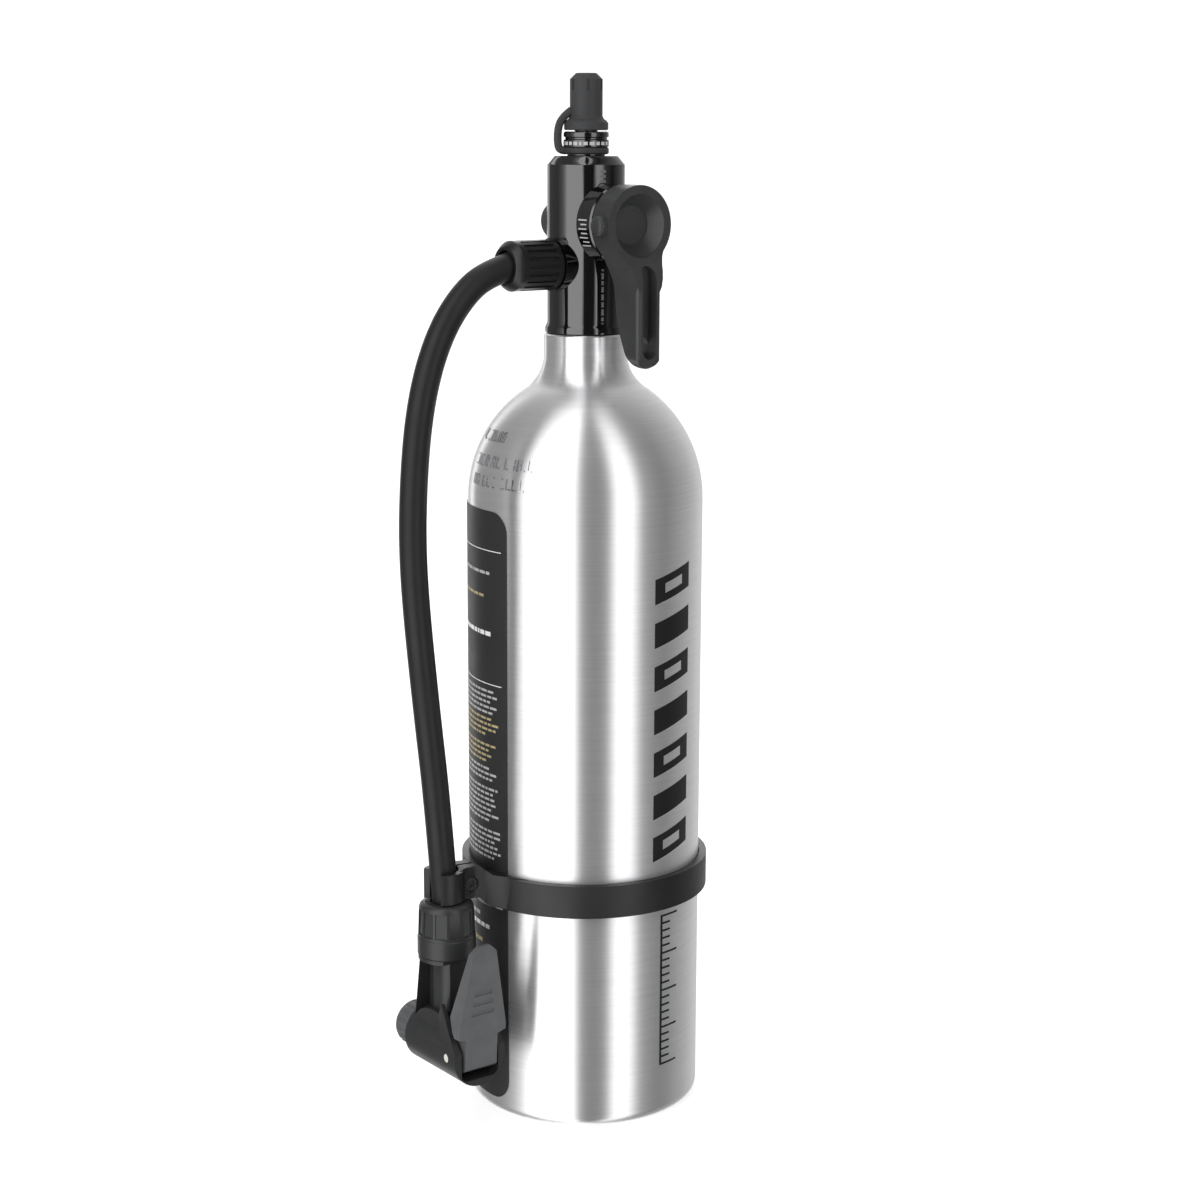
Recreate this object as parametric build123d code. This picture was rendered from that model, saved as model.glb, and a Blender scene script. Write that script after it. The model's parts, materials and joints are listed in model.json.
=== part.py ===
"""Portable air reservoir: an aluminium pressure bottle with a valve block, a hose and a pump head.

Millimetres, +Z up. The origin is the centre of the bottle's flat base. The selector knob
faces -Y, and the hose port, the hose and the pump head are on the -X side.
"""
import os
from math import atan2, cos, pi, radians, sin, sqrt, tan

from build123d import *

# Bottle
TANK_R = 40.0
TANK_WALL = 3.0
TANK_FLOOR = 4.5
BASE_EDGE_R = 3.5
BARREL_TOP = 212.0
SHOULDER_R = 46.1
NECK_R = 14.1
NECK_FILLET_R = 12.5
NECK_TOP = 267.7
NECK_BORE_R = 9.6
SEAL_SEAT_R = 12.0
SEAL_SEAT_DEPTH = 2.4

# Label wrapped on the back left of the barrel, angles anticlockwise from +X
LABEL_THICK = 0.25
LABEL_Z = (5.4, 211.0)
LABEL_ANGLES = (95.0, 193.0)
LABEL_CORNER_R = 7.0

# Valve block
BLOCK_R = 12.9
BLOCK_FOOT_R = 13.65
BLOCK_FOOT_H = 2.6
BLOCK_CONE_Z = 323.6
BLOCK_TOP = 326.1
BLOCK_TOP_R = 10.3
GALLERY_R = 3.0
STEM_R = 9.55
STEM_DEPTH = 15.0

# Selector knob and its spindle, on an axis along Y
KNOB_Z = 304.3
KNOB_BOSS_R = 12.8
BOSS_NECK_R = 8.4
BOSS_START = -10.8
BOSS_END = -19.2
KNOB_BACK = -20.4
KNOB_FACE = -29.0
KNOB_R = 12.9
DISH_R = 10.0
DISH_FLOOR_R = 6.8
DISH_DEPTH = 4.7
ARM_HALF = 4.9
ARM_EDGE_R = 1.7
ARM_SWEEP_R = 20.0
ARM_SPREAD_Z = 283.0
ARM_FACE = -34.4
ARM_TIP_Z = 258.3
SLOT_HALF = 2.8
SLOT_Z = (261.4, 291.5)
SLOT_DEPTH = 4.2
EYE_Z = (261.5, 268.5)
SPINDLE_R = 4.95
SPINDLE_BORE_R = 5.0
SPINDLE_SEAL_Y = (-10.0, -6.5, 7.0)
DRIVE_END = -21.9
O_RING_R = 0.85
END_CAP_R = 6.5
END_CAP_Y = (12.3, 17.6)
SPOT_FACE_Y = 12.1

# Hose port, on an axis along -X
PORT_Z = 290.8
PORT_BOSS_R = 8.8
PORT_BOSS_END = -14.2
PORT_STUB_R = 6.2
PORT_STUB_END = -21.0
PORT_NUT_R = 8.25
PORT_NUT_END = -33.0
HOSE_START = -30.0

# Inlet on top
ADAPTOR_R = 7.5
ADAPTOR_Z = (326.1, 333.9)
TETHER_Z = (326.5, 328.9)
INLET_STEM_R = 3.85
INLET_STEM_TOP = 348.0
CAP_BOTTOM = 334.3
CAP_SKIRT_R = 7.3
CAP_SKIRT_TOP = 338.4
CAP_R = 5.4
CAP_TOP = 352.7
CAP_BORE_R = 4.25

# Hose: a route of straight runs, rounded as widely as the runs allow
HOSE_R = 4.5
HEAD_X = -58.1
HOSE_END_Z = 74.0
HOSE_ROUTE = [
    (HOSE_START, 291.2),
    (-40.6, 288.4),
    (-49.2, 282.4),
    (-57.2, 272.3),
    (-63.2, 258.8),
    (-67.0, 243.0),
    (-69.0, 225.0),
    (-69.9, 205.0),
    (-69.0, 184.0),
    (-65.4, 149.0),
    (-60.9, 111.0),
    (HEAD_X, HOSE_END_Z),
]

# Strap round the bottle, with the hose clip
STRAP_Z = (76.0, 87.2)
STRAP_INNER_R = 40.35
STRAP_R = 42.8
CLIP_Z = (80.4, 90.8)
CLIP_X = -59.0
CLIP_INNER_R = 4.95
CLIP_R = 7.0
CLIP_REACH_DEG = 132.0
EAR_HALF = 4.0
EAR_GAP = 1.2
CLAMP_SCREW_X = -50.4
CLAMP_SCREW_Z = 85.0

# Pump head: hose collar on top, a barrel along Y below it
COLLAR_Z = (61.5, 79.9)
COLLAR_R = 9.9
COLLAR_TOP_R = 9.3
COLLAR_PANELS = 12
PANEL_Z = (69.0, 77.6)
PANEL_DEPTH = 0.6
BARREL_Z = 30.3
BARREL_R_BACK = 10.2
BARREL_R_FORK = 10.2
BARREL_Y = (-19.5, 11.0)
HEAD_BORE_R = 5.0
COLUMN_R = 5.5
COLUMN_Y = (-3.2, -1.2)
HEAD_SPREAD_R = 12.1
CHEEK_INNER = 7.4
LEVER_ROOM_Z = (22.5, 80.0)
LEVER_ROOM_BACK = -7.3
PLUNGER_SEAL_Y = -4.6
PIN_Y = -14.0
PIN_R = 1.5
CAM_R = 4.5
CAM_THROW = 1.9
CAM_HALF = 2.9
GASKET_CAP_Y = (11.1, 22.3)
GASKET_CAP_R = 8.0
GASKET_R = 5.9
GASKET_BORE_R = 3.95
LEVER_FACE_TOP = -22.8
LEVER_FACE_LOW = -20.9
LEVER_THICK = 6.4
LEVER_TIP_Z = 70.2
LEVER_LOW_Z = 38.5

MIN_Z = (Align.CENTER, Align.CENTER, Align.MIN)


def turned(points):
    """A solid turned about Z from an outline of (radius, height) points."""
    outline = make_face(Plane.XZ * Polyline(*points, close=True))
    return revolve(outline, Axis.Z)


def rod(radius, start, end):
    """A cylinder from one point to another."""
    axis = Vector(*end) - Vector(*start)
    return Plane(origin=start, z_dir=axis) * Cylinder(radius, axis.length, align=MIN_Z)


def along_y(solid, z, x=0.0):
    """Turn a solid made about +Z so that its axis lies along +Y at the given height."""
    return Pos(x, 0, z) * Rot(-90, 0, 0) * solid


def grooved_ring(shaft_r, y, x, z):
    """An O-ring on a shaft that lies along Y, just under the shaft's own radius."""
    return Pos(x, y, z) * Rot(90, 0, 0) * Torus(shaft_r - O_RING_R - 0.05, O_RING_R)


def ring_groove(shaft_r, y, x, z):
    """The groove for such an O-ring, to be cut from the shaft."""
    half = O_RING_R + 0.05
    wide = rod(shaft_r + 1, (x, y - half, z), (x, y + half, z))
    return wide - rod(shaft_r - 2 * O_RING_R - 0.1, (x, y - 2, z), (x, y + 2, z))


def side_plate(points, x_low, x_high):
    """A plate cut to an outline of (y, z) points, between two x positions."""
    face = make_face(Plane.YZ * Polyline(*points, close=True))
    return Pos(x_low, 0, 0) * extrude(face, x_high - x_low, dir=(1, 0, 0))


# ---------------------------------------------------------------- bottle


def tank_shell():
    """Drawn aluminium bottle with a round shoulder, a plain neck and a threaded mouth."""
    centre_r = TANK_R - SHOULDER_R
    fillet_r = NECK_R + NECK_FILLET_R
    reach = SHOULDER_R + NECK_FILLET_R
    fillet_z = BARREL_TOP + sqrt(reach**2 - (fillet_r - centre_r) ** 2)
    blend = atan2(fillet_z - BARREL_TOP, fillet_r - centre_r)
    blend_point = (centre_r + SHOULDER_R * cos(blend), BARREL_TOP + SHOULDER_R * sin(blend))
    shoulder_mid = (
        centre_r + SHOULDER_R * cos(blend / 2),
        BARREL_TOP + SHOULDER_R * sin(blend / 2),
    )
    fillet_turn = (pi + blend + pi) / 2
    fillet_mid = (
        fillet_r + NECK_FILLET_R * cos(fillet_turn),
        fillet_z + NECK_FILLET_R * sin(fillet_turn),
    )
    corner = BASE_EDGE_R * (1 - cos(radians(45)))
    outer = [
        Line((0, 0), (TANK_R - BASE_EDGE_R, 0)),
        ThreePointArc((TANK_R - BASE_EDGE_R, 0), (TANK_R - corner, corner), (TANK_R, BASE_EDGE_R)),
        Line((TANK_R, BASE_EDGE_R), (TANK_R, BARREL_TOP)),
        ThreePointArc((TANK_R, BARREL_TOP), shoulder_mid, blend_point),
        ThreePointArc(blend_point, fillet_mid, (NECK_R, fillet_z)),
        Line((NECK_R, fillet_z), (NECK_R, NECK_TOP)),
        Line((NECK_R, NECK_TOP), (0, NECK_TOP)),
        Line((0, NECK_TOP), (0, 0)),
    ]
    shell = revolve(Plane.XZ * make_face(Curve() + outer), Axis.Z)
    return shell - tank_cavity() - Pos(0, 0, NECK_TOP - SEAL_SEAT_DEPTH) * Cylinder(
        SEAL_SEAT_R, SEAL_SEAT_DEPTH + 1, align=MIN_Z
    )


def tank_cavity():
    """The space inside the bottle, up to the top of the neck."""
    inner_r = TANK_R - TANK_WALL
    arc_r = SHOULDER_R - TANK_WALL
    centre_r = TANK_R - SHOULDER_R
    lip = sqrt(arc_r**2 - (NECK_BORE_R - centre_r) ** 2)
    half = atan2(lip, NECK_BORE_R - centre_r) / 2
    mid = (centre_r + arc_r * cos(half), BARREL_TOP + arc_r * sin(half))
    outline = [
        Line((0, TANK_FLOOR), (inner_r - BASE_EDGE_R, TANK_FLOOR)),
        Line((inner_r - BASE_EDGE_R, TANK_FLOOR), (inner_r, TANK_FLOOR + BASE_EDGE_R)),
        Line((inner_r, TANK_FLOOR + BASE_EDGE_R), (inner_r, BARREL_TOP)),
        ThreePointArc((inner_r, BARREL_TOP), mid, (NECK_BORE_R, BARREL_TOP + lip)),
        Line((NECK_BORE_R, BARREL_TOP + lip), (NECK_BORE_R, NECK_TOP + 1)),
        Line((NECK_BORE_R, NECK_TOP + 1), (0, NECK_TOP + 1)),
        Line((0, NECK_TOP + 1), (0, TANK_FLOOR)),
    ]
    return revolve(Plane.XZ * make_face(Curve() + outline), Axis.Z)


def label_panel():
    """Thin wrapped label with rounded corners."""
    start, stop = LABEL_ANGLES
    low, high = LABEL_Z
    middle = (start + stop) / 2
    span = 2 * TANK_R * sin(radians(stop - start) / 2)
    window = Plane.YZ * Pos(0, (low + high) / 2) * RectangleRounded(span, high - low, LABEL_CORNER_R)
    skin = Cylinder(TANK_R + LABEL_THICK, high + 10, align=MIN_Z)
    skin -= Cylinder(TANK_R + 0.02, high + 10, align=MIN_Z)
    return Rot(0, 0, middle) * (skin & extrude(window, TANK_R + 5, dir=(1, 0, 0)))


def neck_o_ring():
    """Seal between the bottle's mouth and the valve block."""
    return Pos(0, 0, NECK_TOP - 1.15) * Torus(10.75, 1.1)


# ---------------------------------------------------------------- valve block


def valve_body():
    """Turned block with the knob boss, the hose port and a threaded stem below."""
    foot_top = NECK_TOP + BLOCK_FOOT_H
    block = turned(
        [
            (0, NECK_TOP + 0.02),
            (BLOCK_FOOT_R - 0.5, NECK_TOP + 0.02),
            (BLOCK_FOOT_R, NECK_TOP + 0.5),
            (BLOCK_FOOT_R, foot_top - 0.5),
            (BLOCK_FOOT_R - 0.25, foot_top),
            (BLOCK_R + 0.05, foot_top + 0.9),
            (BLOCK_R, foot_top + 2.0),
            (BLOCK_R, BLOCK_CONE_Z - 0.35),
            (BLOCK_R - 0.35, BLOCK_CONE_Z),
            (BLOCK_TOP_R + 0.3, BLOCK_TOP - 0.15),
            (BLOCK_TOP_R, BLOCK_TOP),
            (0, BLOCK_TOP),
        ]
    )
    flange = turned(
        [
            (0, BOSS_START),
            (KNOB_BOSS_R - 1.2, BOSS_START),
            (KNOB_BOSS_R - 0.4, BOSS_START - 0.4),
            (KNOB_BOSS_R, BOSS_START - 1.3),
            (KNOB_BOSS_R, BOSS_END + 0.5),
            (KNOB_BOSS_R - 0.5, BOSS_END),
            (0, BOSS_END),
        ]
    )
    boss = along_y(flange, KNOB_Z) + rod(BOSS_NECK_R, (0, 0, KNOB_Z), (0, BOSS_START - 1, KNOB_Z))
    port = rod(PORT_BOSS_R, (0, 0, PORT_Z), (PORT_BOSS_END, 0, PORT_Z))
    stub = rod(PORT_STUB_R, (PORT_BOSS_END + 1, 0, PORT_Z), (PORT_STUB_END, 0, PORT_Z))
    stem = Pos(0, 0, NECK_TOP - STEM_DEPTH) * Cylinder(STEM_R, STEM_DEPTH + 1, align=MIN_Z)
    block = block + boss + port + stub + stem
    gallery = rod(GALLERY_R, (0, 0, NECK_TOP - STEM_DEPTH - 1), (0, 0, BLOCK_TOP + 1))
    spindle_bore = rod(SPINDLE_BORE_R, (0, BOSS_END - 1, KNOB_Z), (0, BLOCK_R + 1, KNOB_Z))
    spot_face = rod(END_CAP_R + 0.4, (0, SPOT_FACE_Y, KNOB_Z), (0, BLOCK_R + 1, KNOB_Z))
    port_bore = rod(3.4, (-3, 0, PORT_Z), (PORT_STUB_END - 1, 0, PORT_Z))
    inlet_bore = rod(5.3, (0, 0, BLOCK_TOP - 9), (0, 0, BLOCK_TOP + 1))
    return block - gallery - spindle_bore - spot_face - port_bore - inlet_bore


def valve_spindle():
    """Brass spindle that turns in the block and joins the bottle to the inlet or the hose."""
    back = END_CAP_Y[0] + 1.5
    shaft = rod(SPINDLE_R, (0, BOSS_END - 0.6, KNOB_Z), (0, back, KNOB_Z))
    drive = rod(3.4, (0, BOSS_END - 0.6, KNOB_Z), (0, DRIVE_END, KNOB_Z))
    flats = Pos(0, KNOB_BACK, KNOB_Z) * Box(5.6, 12, 8)
    port = rod(1.8, (0, 0, KNOB_Z - SPINDLE_R - 1), (0, 0, KNOB_Z + SPINDLE_R + 1))
    tap = rod(1.25, (0, DRIVE_END - 1, KNOB_Z), (0, BOSS_END + 6, KNOB_Z))
    end_tap = rod(1.0, (0, back - 6, KNOB_Z), (0, back + 1, KNOB_Z))
    grooves = [ring_groove(SPINDLE_R, y, 0, KNOB_Z) for y in SPINDLE_SEAL_Y]
    return shaft + (drive & flats) - port - tap - end_tap - grooves


def spindle_o_rings():
    """Three O-rings in the spindle's grooves."""
    return Compound([grooved_ring(SPINDLE_R, y, 0, KNOB_Z) for y in SPINDLE_SEAL_Y])


def spindle_washer():
    """Low-friction washer between the knob boss and the knob."""
    washer = rod(11.6, (0, BOSS_END - 0.05, KNOB_Z), (0, BOSS_END - 0.9, KNOB_Z))
    return washer - rod(SPINDLE_BORE_R + 0.3, (0, BOSS_END + 1, KNOB_Z), (0, KNOB_BACK, KNOB_Z))


def spindle_end_cap():
    """Round cap that keeps the spindle in the block from behind."""
    near, far = END_CAP_Y
    cap = along_y(
        turned(
            [
                (0, near),
                (END_CAP_R, near),
                (END_CAP_R, far - 1.2),
                (END_CAP_R - 0.35, far - 0.5),
                (END_CAP_R - 1.3, far),
                (0, far),
            ]
        ),
        KNOB_Z,
    )
    seat = rod(SPINDLE_R + 0.05, (0, near - 1, KNOB_Z), (0, near + 1.55, KNOB_Z))
    screw_hole = rod(1.05, (0, near, KNOB_Z), (0, far + 1, KNOB_Z))
    head_seat = rod(2.3, (0, far - 1.6, KNOB_Z), (0, far + 1, KNOB_Z))
    return cap - seat - screw_hole - head_seat


def end_cap_screw():
    """Small screw through the end cap into the spindle."""
    far = END_CAP_Y[1]
    shank = rod(0.98, (0, far - 8, KNOB_Z), (0, far - 1, KNOB_Z))
    head = rod(2.2, (0, far - 1.55, KNOB_Z), (0, far - 0.1, KNOB_Z))
    slot = Pos(0, far, KNOB_Z) * Box(0.6, 1.6, 5)
    return shank + (head - slot)


def lever_knob():
    """Dished knob with a hanging lever arm, a long slot, an eye and a pointer stub."""
    arm_low = ARM_TIP_Z + ARM_HALF
    arm = Pos(0, (KNOB_Z + arm_low) / 2) * Rectangle(2 * ARM_HALF, KNOB_Z - arm_low)
    front = Pos(0, KNOB_Z) * Circle(KNOB_R) + arm
    front = fillet([v for v in front.vertices() if v.Y > arm_low + 1], ARM_SWEEP_R)
    front = front + Pos(0, arm_low) * Circle(ARM_HALF)
    side = [
        (KNOB_BACK, KNOB_Z + KNOB_R + 1),
        (KNOB_FACE, KNOB_Z + KNOB_R + 1),
        (KNOB_FACE, 296.0),
        (KNOB_FACE - 1.0, 294.4),
        (ARM_FACE + 1.0, 289.8),
        (ARM_FACE, 287.4),
        (ARM_FACE - 0.3, 262.6),
        (ARM_FACE + 0.7, 259.4),
        (ARM_FACE + 2.2, 257.6),
        (-29.8, 259.6),
        (-27.6, 263.2),
        (-24.9, 269.1),
        (-23.0, 276.4),
        (-22.0, 284.0),
        (KNOB_BACK, 291.5),
    ]
    solid = extrude(Plane.XZ * front, 50) & side_plate(side, -20, 20)
    edge_plan = Pos(0, ARM_FACE / 2) * RectangleRounded(2 * ARM_HALF, -ARM_FACE + 0.3, ARM_EDGE_R)
    straight = extrude(edge_plan, ARM_SPREAD_Z, dir=(0, 0, 1))
    spread = extrude(Pos(0, 0, ARM_SPREAD_Z) * edge_plan, 10.5, dir=(0, 0, 1), taper=-20)
    above = Pos(0, 0, ARM_SPREAD_Z + 10) * Box(60, 100, 100, align=MIN_Z)
    solid &= straight + spread + above
    dish = Pos(0, KNOB_FACE, KNOB_Z) * Rot(-90, 0, 0) * turned(
        [(0, -3), (DISH_R + 0.9, -3), (DISH_R, 0.1), (DISH_FLOOR_R, DISH_DEPTH), (0, DISH_DEPTH)]
    )
    floor_y = KNOB_FACE + DISH_DEPTH
    cover_seat = rod(DISH_FLOOR_R - 0.3, (0, floor_y - 0.1, KNOB_Z), (0, floor_y + 0.75, KNOB_Z))
    screw_seat = rod(3.0, (0, floor_y, KNOB_Z), (0, floor_y + 1.8, KNOB_Z))
    drive = rod(3.45, (0, KNOB_BACK + 1, KNOB_Z), (0, DRIVE_END - 0.05, KNOB_Z))
    drive &= Pos(0, KNOB_BACK, KNOB_Z) * Box(5.7, 10, 7.0)
    shank_hole = rod(1.4, (0, KNOB_BACK + 1, KNOB_Z), (0, floor_y - 1, KNOB_Z))
    slot_low, slot_high = SLOT_Z
    slot_face = Pos(0, (slot_low + slot_high) / 2) * SlotOverall(
        slot_high - slot_low, 2 * SLOT_HALF, rotation=90
    )
    slot = extrude(Plane.XZ.offset(-ARM_FACE - SLOT_DEPTH) * slot_face, 10)
    eye_low, eye_high = EYE_Z
    eye = SlotOverall(eye_high - eye_low, 2 * SLOT_HALF - 0.02, rotation=90)
    eye = extrude(Plane.XZ * Pos(0, (eye_low + eye_high) / 2) * eye, 60)
    stub_y = (KNOB_FACE + KNOB_BACK) / 2 - 0.4
    stub = Pos(-KNOB_R + 2, stub_y, KNOB_Z) * Rot(0, -90, 0) * turned(
        [(0, 0), (3.3, 0), (3.2, 3.4), (2.8, 4.1), (2.0, 4.5), (0, 4.6)]
    )
    return solid + stub - dish - cover_seat - screw_seat - drive - shank_hole - slot - eye


def knob_cover():
    """Plain disc that closes the floor of the knob's dish."""
    floor_y = KNOB_FACE + DISH_DEPTH
    return rod(DISH_FLOOR_R - 0.35, (0, floor_y - 0.05, KNOB_Z), (0, floor_y + 0.7, KNOB_Z))


def knob_screw():
    """Screw that holds the knob on the spindle's flats."""
    floor_y = KNOB_FACE + DISH_DEPTH
    head = rod(2.8, (0, floor_y + 0.75, KNOB_Z), (0, floor_y + 1.75, KNOB_Z))
    shank = rod(1.2, (0, floor_y + 1.5, KNOB_Z), (0, BOSS_END + 4, KNOB_Z))
    return head + shank


# ---------------------------------------------------------------- inlet


def inlet_adaptor():
    """Turned collar that screws into the top of the block and carries the inlet stem."""
    low, high = ADAPTOR_Z
    collar = turned(
        [
            (0, low - 8.5),
            (5.25, low - 8.5),
            (5.25, low),
            (6.3, low),
            (6.3, TETHER_Z[1]),
            (ADAPTOR_R, TETHER_Z[1]),
            (ADAPTOR_R, 331.2),
            (ADAPTOR_R - 0.5, 331.4),
            (ADAPTOR_R - 0.5, 331.9),
            (ADAPTOR_R, 332.1),
            (ADAPTOR_R, high - 0.4),
            (ADAPTOR_R - 0.4, high),
            (0, high),
        ]
    )
    return collar - rod(INLET_STEM_R - 0.6, (0, 0, low - 10), (0, 0, high + 1))


def adaptor_o_ring():
    """Seal under the adaptor's thread."""
    return Pos(0, 0, BLOCK_TOP - 8.74) * (Cylinder(5.1, 0.4) - Cylinder(3.4, 1))


def inlet_stem():
    """Brass valve stem of the tyre-valve pattern, pressed into the adaptor."""
    low, high = ADAPTOR_Z
    stem = turned(
        [
            (0, low),
            (INLET_STEM_R - 0.62, low),
            (INLET_STEM_R - 0.62, high + 0.02),
            (INLET_STEM_R, high + 0.02),
            (INLET_STEM_R, INLET_STEM_TOP - 0.6),
            (INLET_STEM_R - 0.6, INLET_STEM_TOP),
            (0, INLET_STEM_TOP),
        ]
    )
    bore = rod(2.3, (0, 0, low + 5), (0, 0, INLET_STEM_TOP + 1))
    passage = rod(1.2, (0, 0, low - 1), (0, 0, low + 6))
    threads = [
        Pos(0, 0, INLET_STEM_TOP - 1.6 - 0.9 * turn) * Torus(INLET_STEM_R + 0.12, 0.3) for turn in range(9)
    ]
    return stem - bore - passage - threads


def core_pin():
    """Push pin of the inlet's valve core."""
    top = INLET_STEM_TOP - 0.6
    return rod(0.9, (0, 0, ADAPTOR_Z[0] + 8), (0, 0, top)) + rod(1.9, (0, 0, top - 4.4), (0, 0, top - 3.2))


def core_spring():
    """Coil spring that closes the inlet's valve core, as a plain sleeve of its outer shape."""
    low = ADAPTOR_Z[0] + 5.1
    high = INLET_STEM_TOP - 5.1
    return rod(1.8, (0, 0, low), (0, 0, high)) - rod(1.3, (0, 0, low - 1), (0, 0, high + 1))


def inlet_cap():
    """Rubber dust cap with a flared skirt and short grip grooves."""
    cap = turned(
        [
            (0, CAP_BOTTOM),
            (CAP_SKIRT_R - 0.3, CAP_BOTTOM),
            (CAP_SKIRT_R, CAP_BOTTOM + 0.4),
            (CAP_SKIRT_R, CAP_BOTTOM + 2.3),
            (CAP_SKIRT_R - 0.6, CAP_BOTTOM + 3.1),
            (CAP_R + 0.5, CAP_SKIRT_TOP - 0.5),
            (CAP_R, CAP_SKIRT_TOP + 0.4),
            (CAP_R, CAP_TOP - 2.0),
            (CAP_R - 1.9, CAP_TOP - 0.1),
            (CAP_R - 2.2, CAP_TOP),
            (0, CAP_TOP),
        ]
    )
    cap -= rod(CAP_BORE_R, (0, 0, CAP_BOTTOM - 1), (0, 0, INLET_STEM_TOP + 1.2))
    grooves = [
        Rot(0, 0, 60 * turn) * Pos(CAP_R + 0.1, 0, CAP_TOP - 3.4) * Box(0.9, 0.8, 4.4) for turn in range(6)
    ]
    return cap - grooves


def cap_tether():
    """Rubber ring under the adaptor's collar with a strap that bows out and up to the cap."""
    low, high = TETHER_Z
    band = Pos(0, 0, low) * Cylinder(7.4, high - low - 0.05, align=MIN_Z)
    band -= Cylinder(6.35, 2000)
    middle = (low + high) / 2
    path = Spline(
        (-6.9, 0, middle),
        (-10.4, 0, middle + 1.6),
        (-11.6, 0, middle + 6.4),
        (-10.4, 0, CAP_BOTTOM + 3.6),
        (-9.1, 0, CAP_BOTTOM + 5.8),
        tangents=[(-1, 0, 0.1), (0.45, 0, 0.9)],
    )
    strap = sweep(Plane(origin=path @ 0, z_dir=path % 0) * Rectangle(2.0, 3.4), path)
    strap -= Cylinder(6.35, 2000)
    return Rot(0, 0, -37) * (band + strap)


# ---------------------------------------------------------------- hose port and hose


def port_turned(points):
    """Turn an outline of (radius, distance from the block's axis) points about the port's axis."""
    return Pos(0, 0, PORT_Z) * Rot(0, -90, 0) * turned(points)


def port_nut():
    """Ribbed nut that clamps the hose end on the port."""
    start = -PORT_BOSS_END + 0.25
    end = -PORT_NUT_END
    nut = port_turned(
        [
            (0, start),
            (PORT_NUT_R - 0.3, start),
            (PORT_NUT_R, start + 0.4),
            (PORT_NUT_R, end - 2.2),
            (PORT_NUT_R - 0.5, end - 1.4),
            (PORT_NUT_R - 1.5, end - 0.3),
            (PORT_NUT_R - 1.9, end),
            (0, end),
        ]
    )
    bore = port_turned(
        [
            (0, start - 1),
            (PORT_STUB_R + 0.05, start - 1),
            (PORT_STUB_R + 0.05, 21.6),
            (4.75, 23.2),
            (4.75, 29.8),
            (5.35, end + 0.1),
            (0, end + 0.1),
        ]
    )
    count = 20
    grooves = [
        Pos(0, 0, PORT_Z)
        * Rot(360 * turn / count, 0, 0)
        * Pos(-(start + end) / 2 + 1.0, 0, PORT_NUT_R + 0.25)
        * Box(11.6, 1.15, 1.5)
        for turn in range(count)
    ]
    return nut - bore - grooves


def hose_port_barb():
    """Brass insert that seats on the port and holds the hose end inside the nut."""
    tail = -HOSE_START
    barb = port_turned(
        [
            (0, 21.4),
            (5.6, 21.4),
            (5.6, 22.0),
            (4.6, 23.4),
            (4.6, tail - 0.4),
            (4.2, tail),
            (0, tail),
        ]
    )
    return barb - rod(2.0, (-20, 0, PORT_Z), (-40, 0, PORT_Z))


def port_o_ring():
    """Face seal between the port's stub and the hose insert."""
    return Pos(PORT_STUB_END - 0.2, 0, PORT_Z) * Rot(0, 90, 0) * (Cylinder(5.2, 0.36) - Cylinder(3.6, 1))


def hose_path():
    """Centre line of the hose, with every corner rounded from its shorter run."""
    points = [Vector(x, 0, z) for x, z in HOSE_ROUTE]
    runs = [b - a for a, b in zip(points, points[1:])]
    radii = [
        0.45 * min(a.length, b.length) / tan(radians(a.get_angle(b) / 2))
        for a, b in zip(runs, runs[1:])
    ]
    print("hose bend radii:", [round(r, 1) for r in radii])
    return FilletPolyline(*points, radius=radii)


def hose():
    """Flexible hose, as a plain rod of its outer size from the port insert to the head insert."""
    path = hose_path()
    tube = sweep(Plane(origin=path @ 0, z_dir=path % 0) * Circle(HOSE_R), path)
    ratio = tube.volume / (pi * HOSE_R**2 * path.length)
    print("hose length", round(path.length, 1), "volume ratio", round(ratio, 4))
    return tube


# ---------------------------------------------------------------- strap and clip


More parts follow.
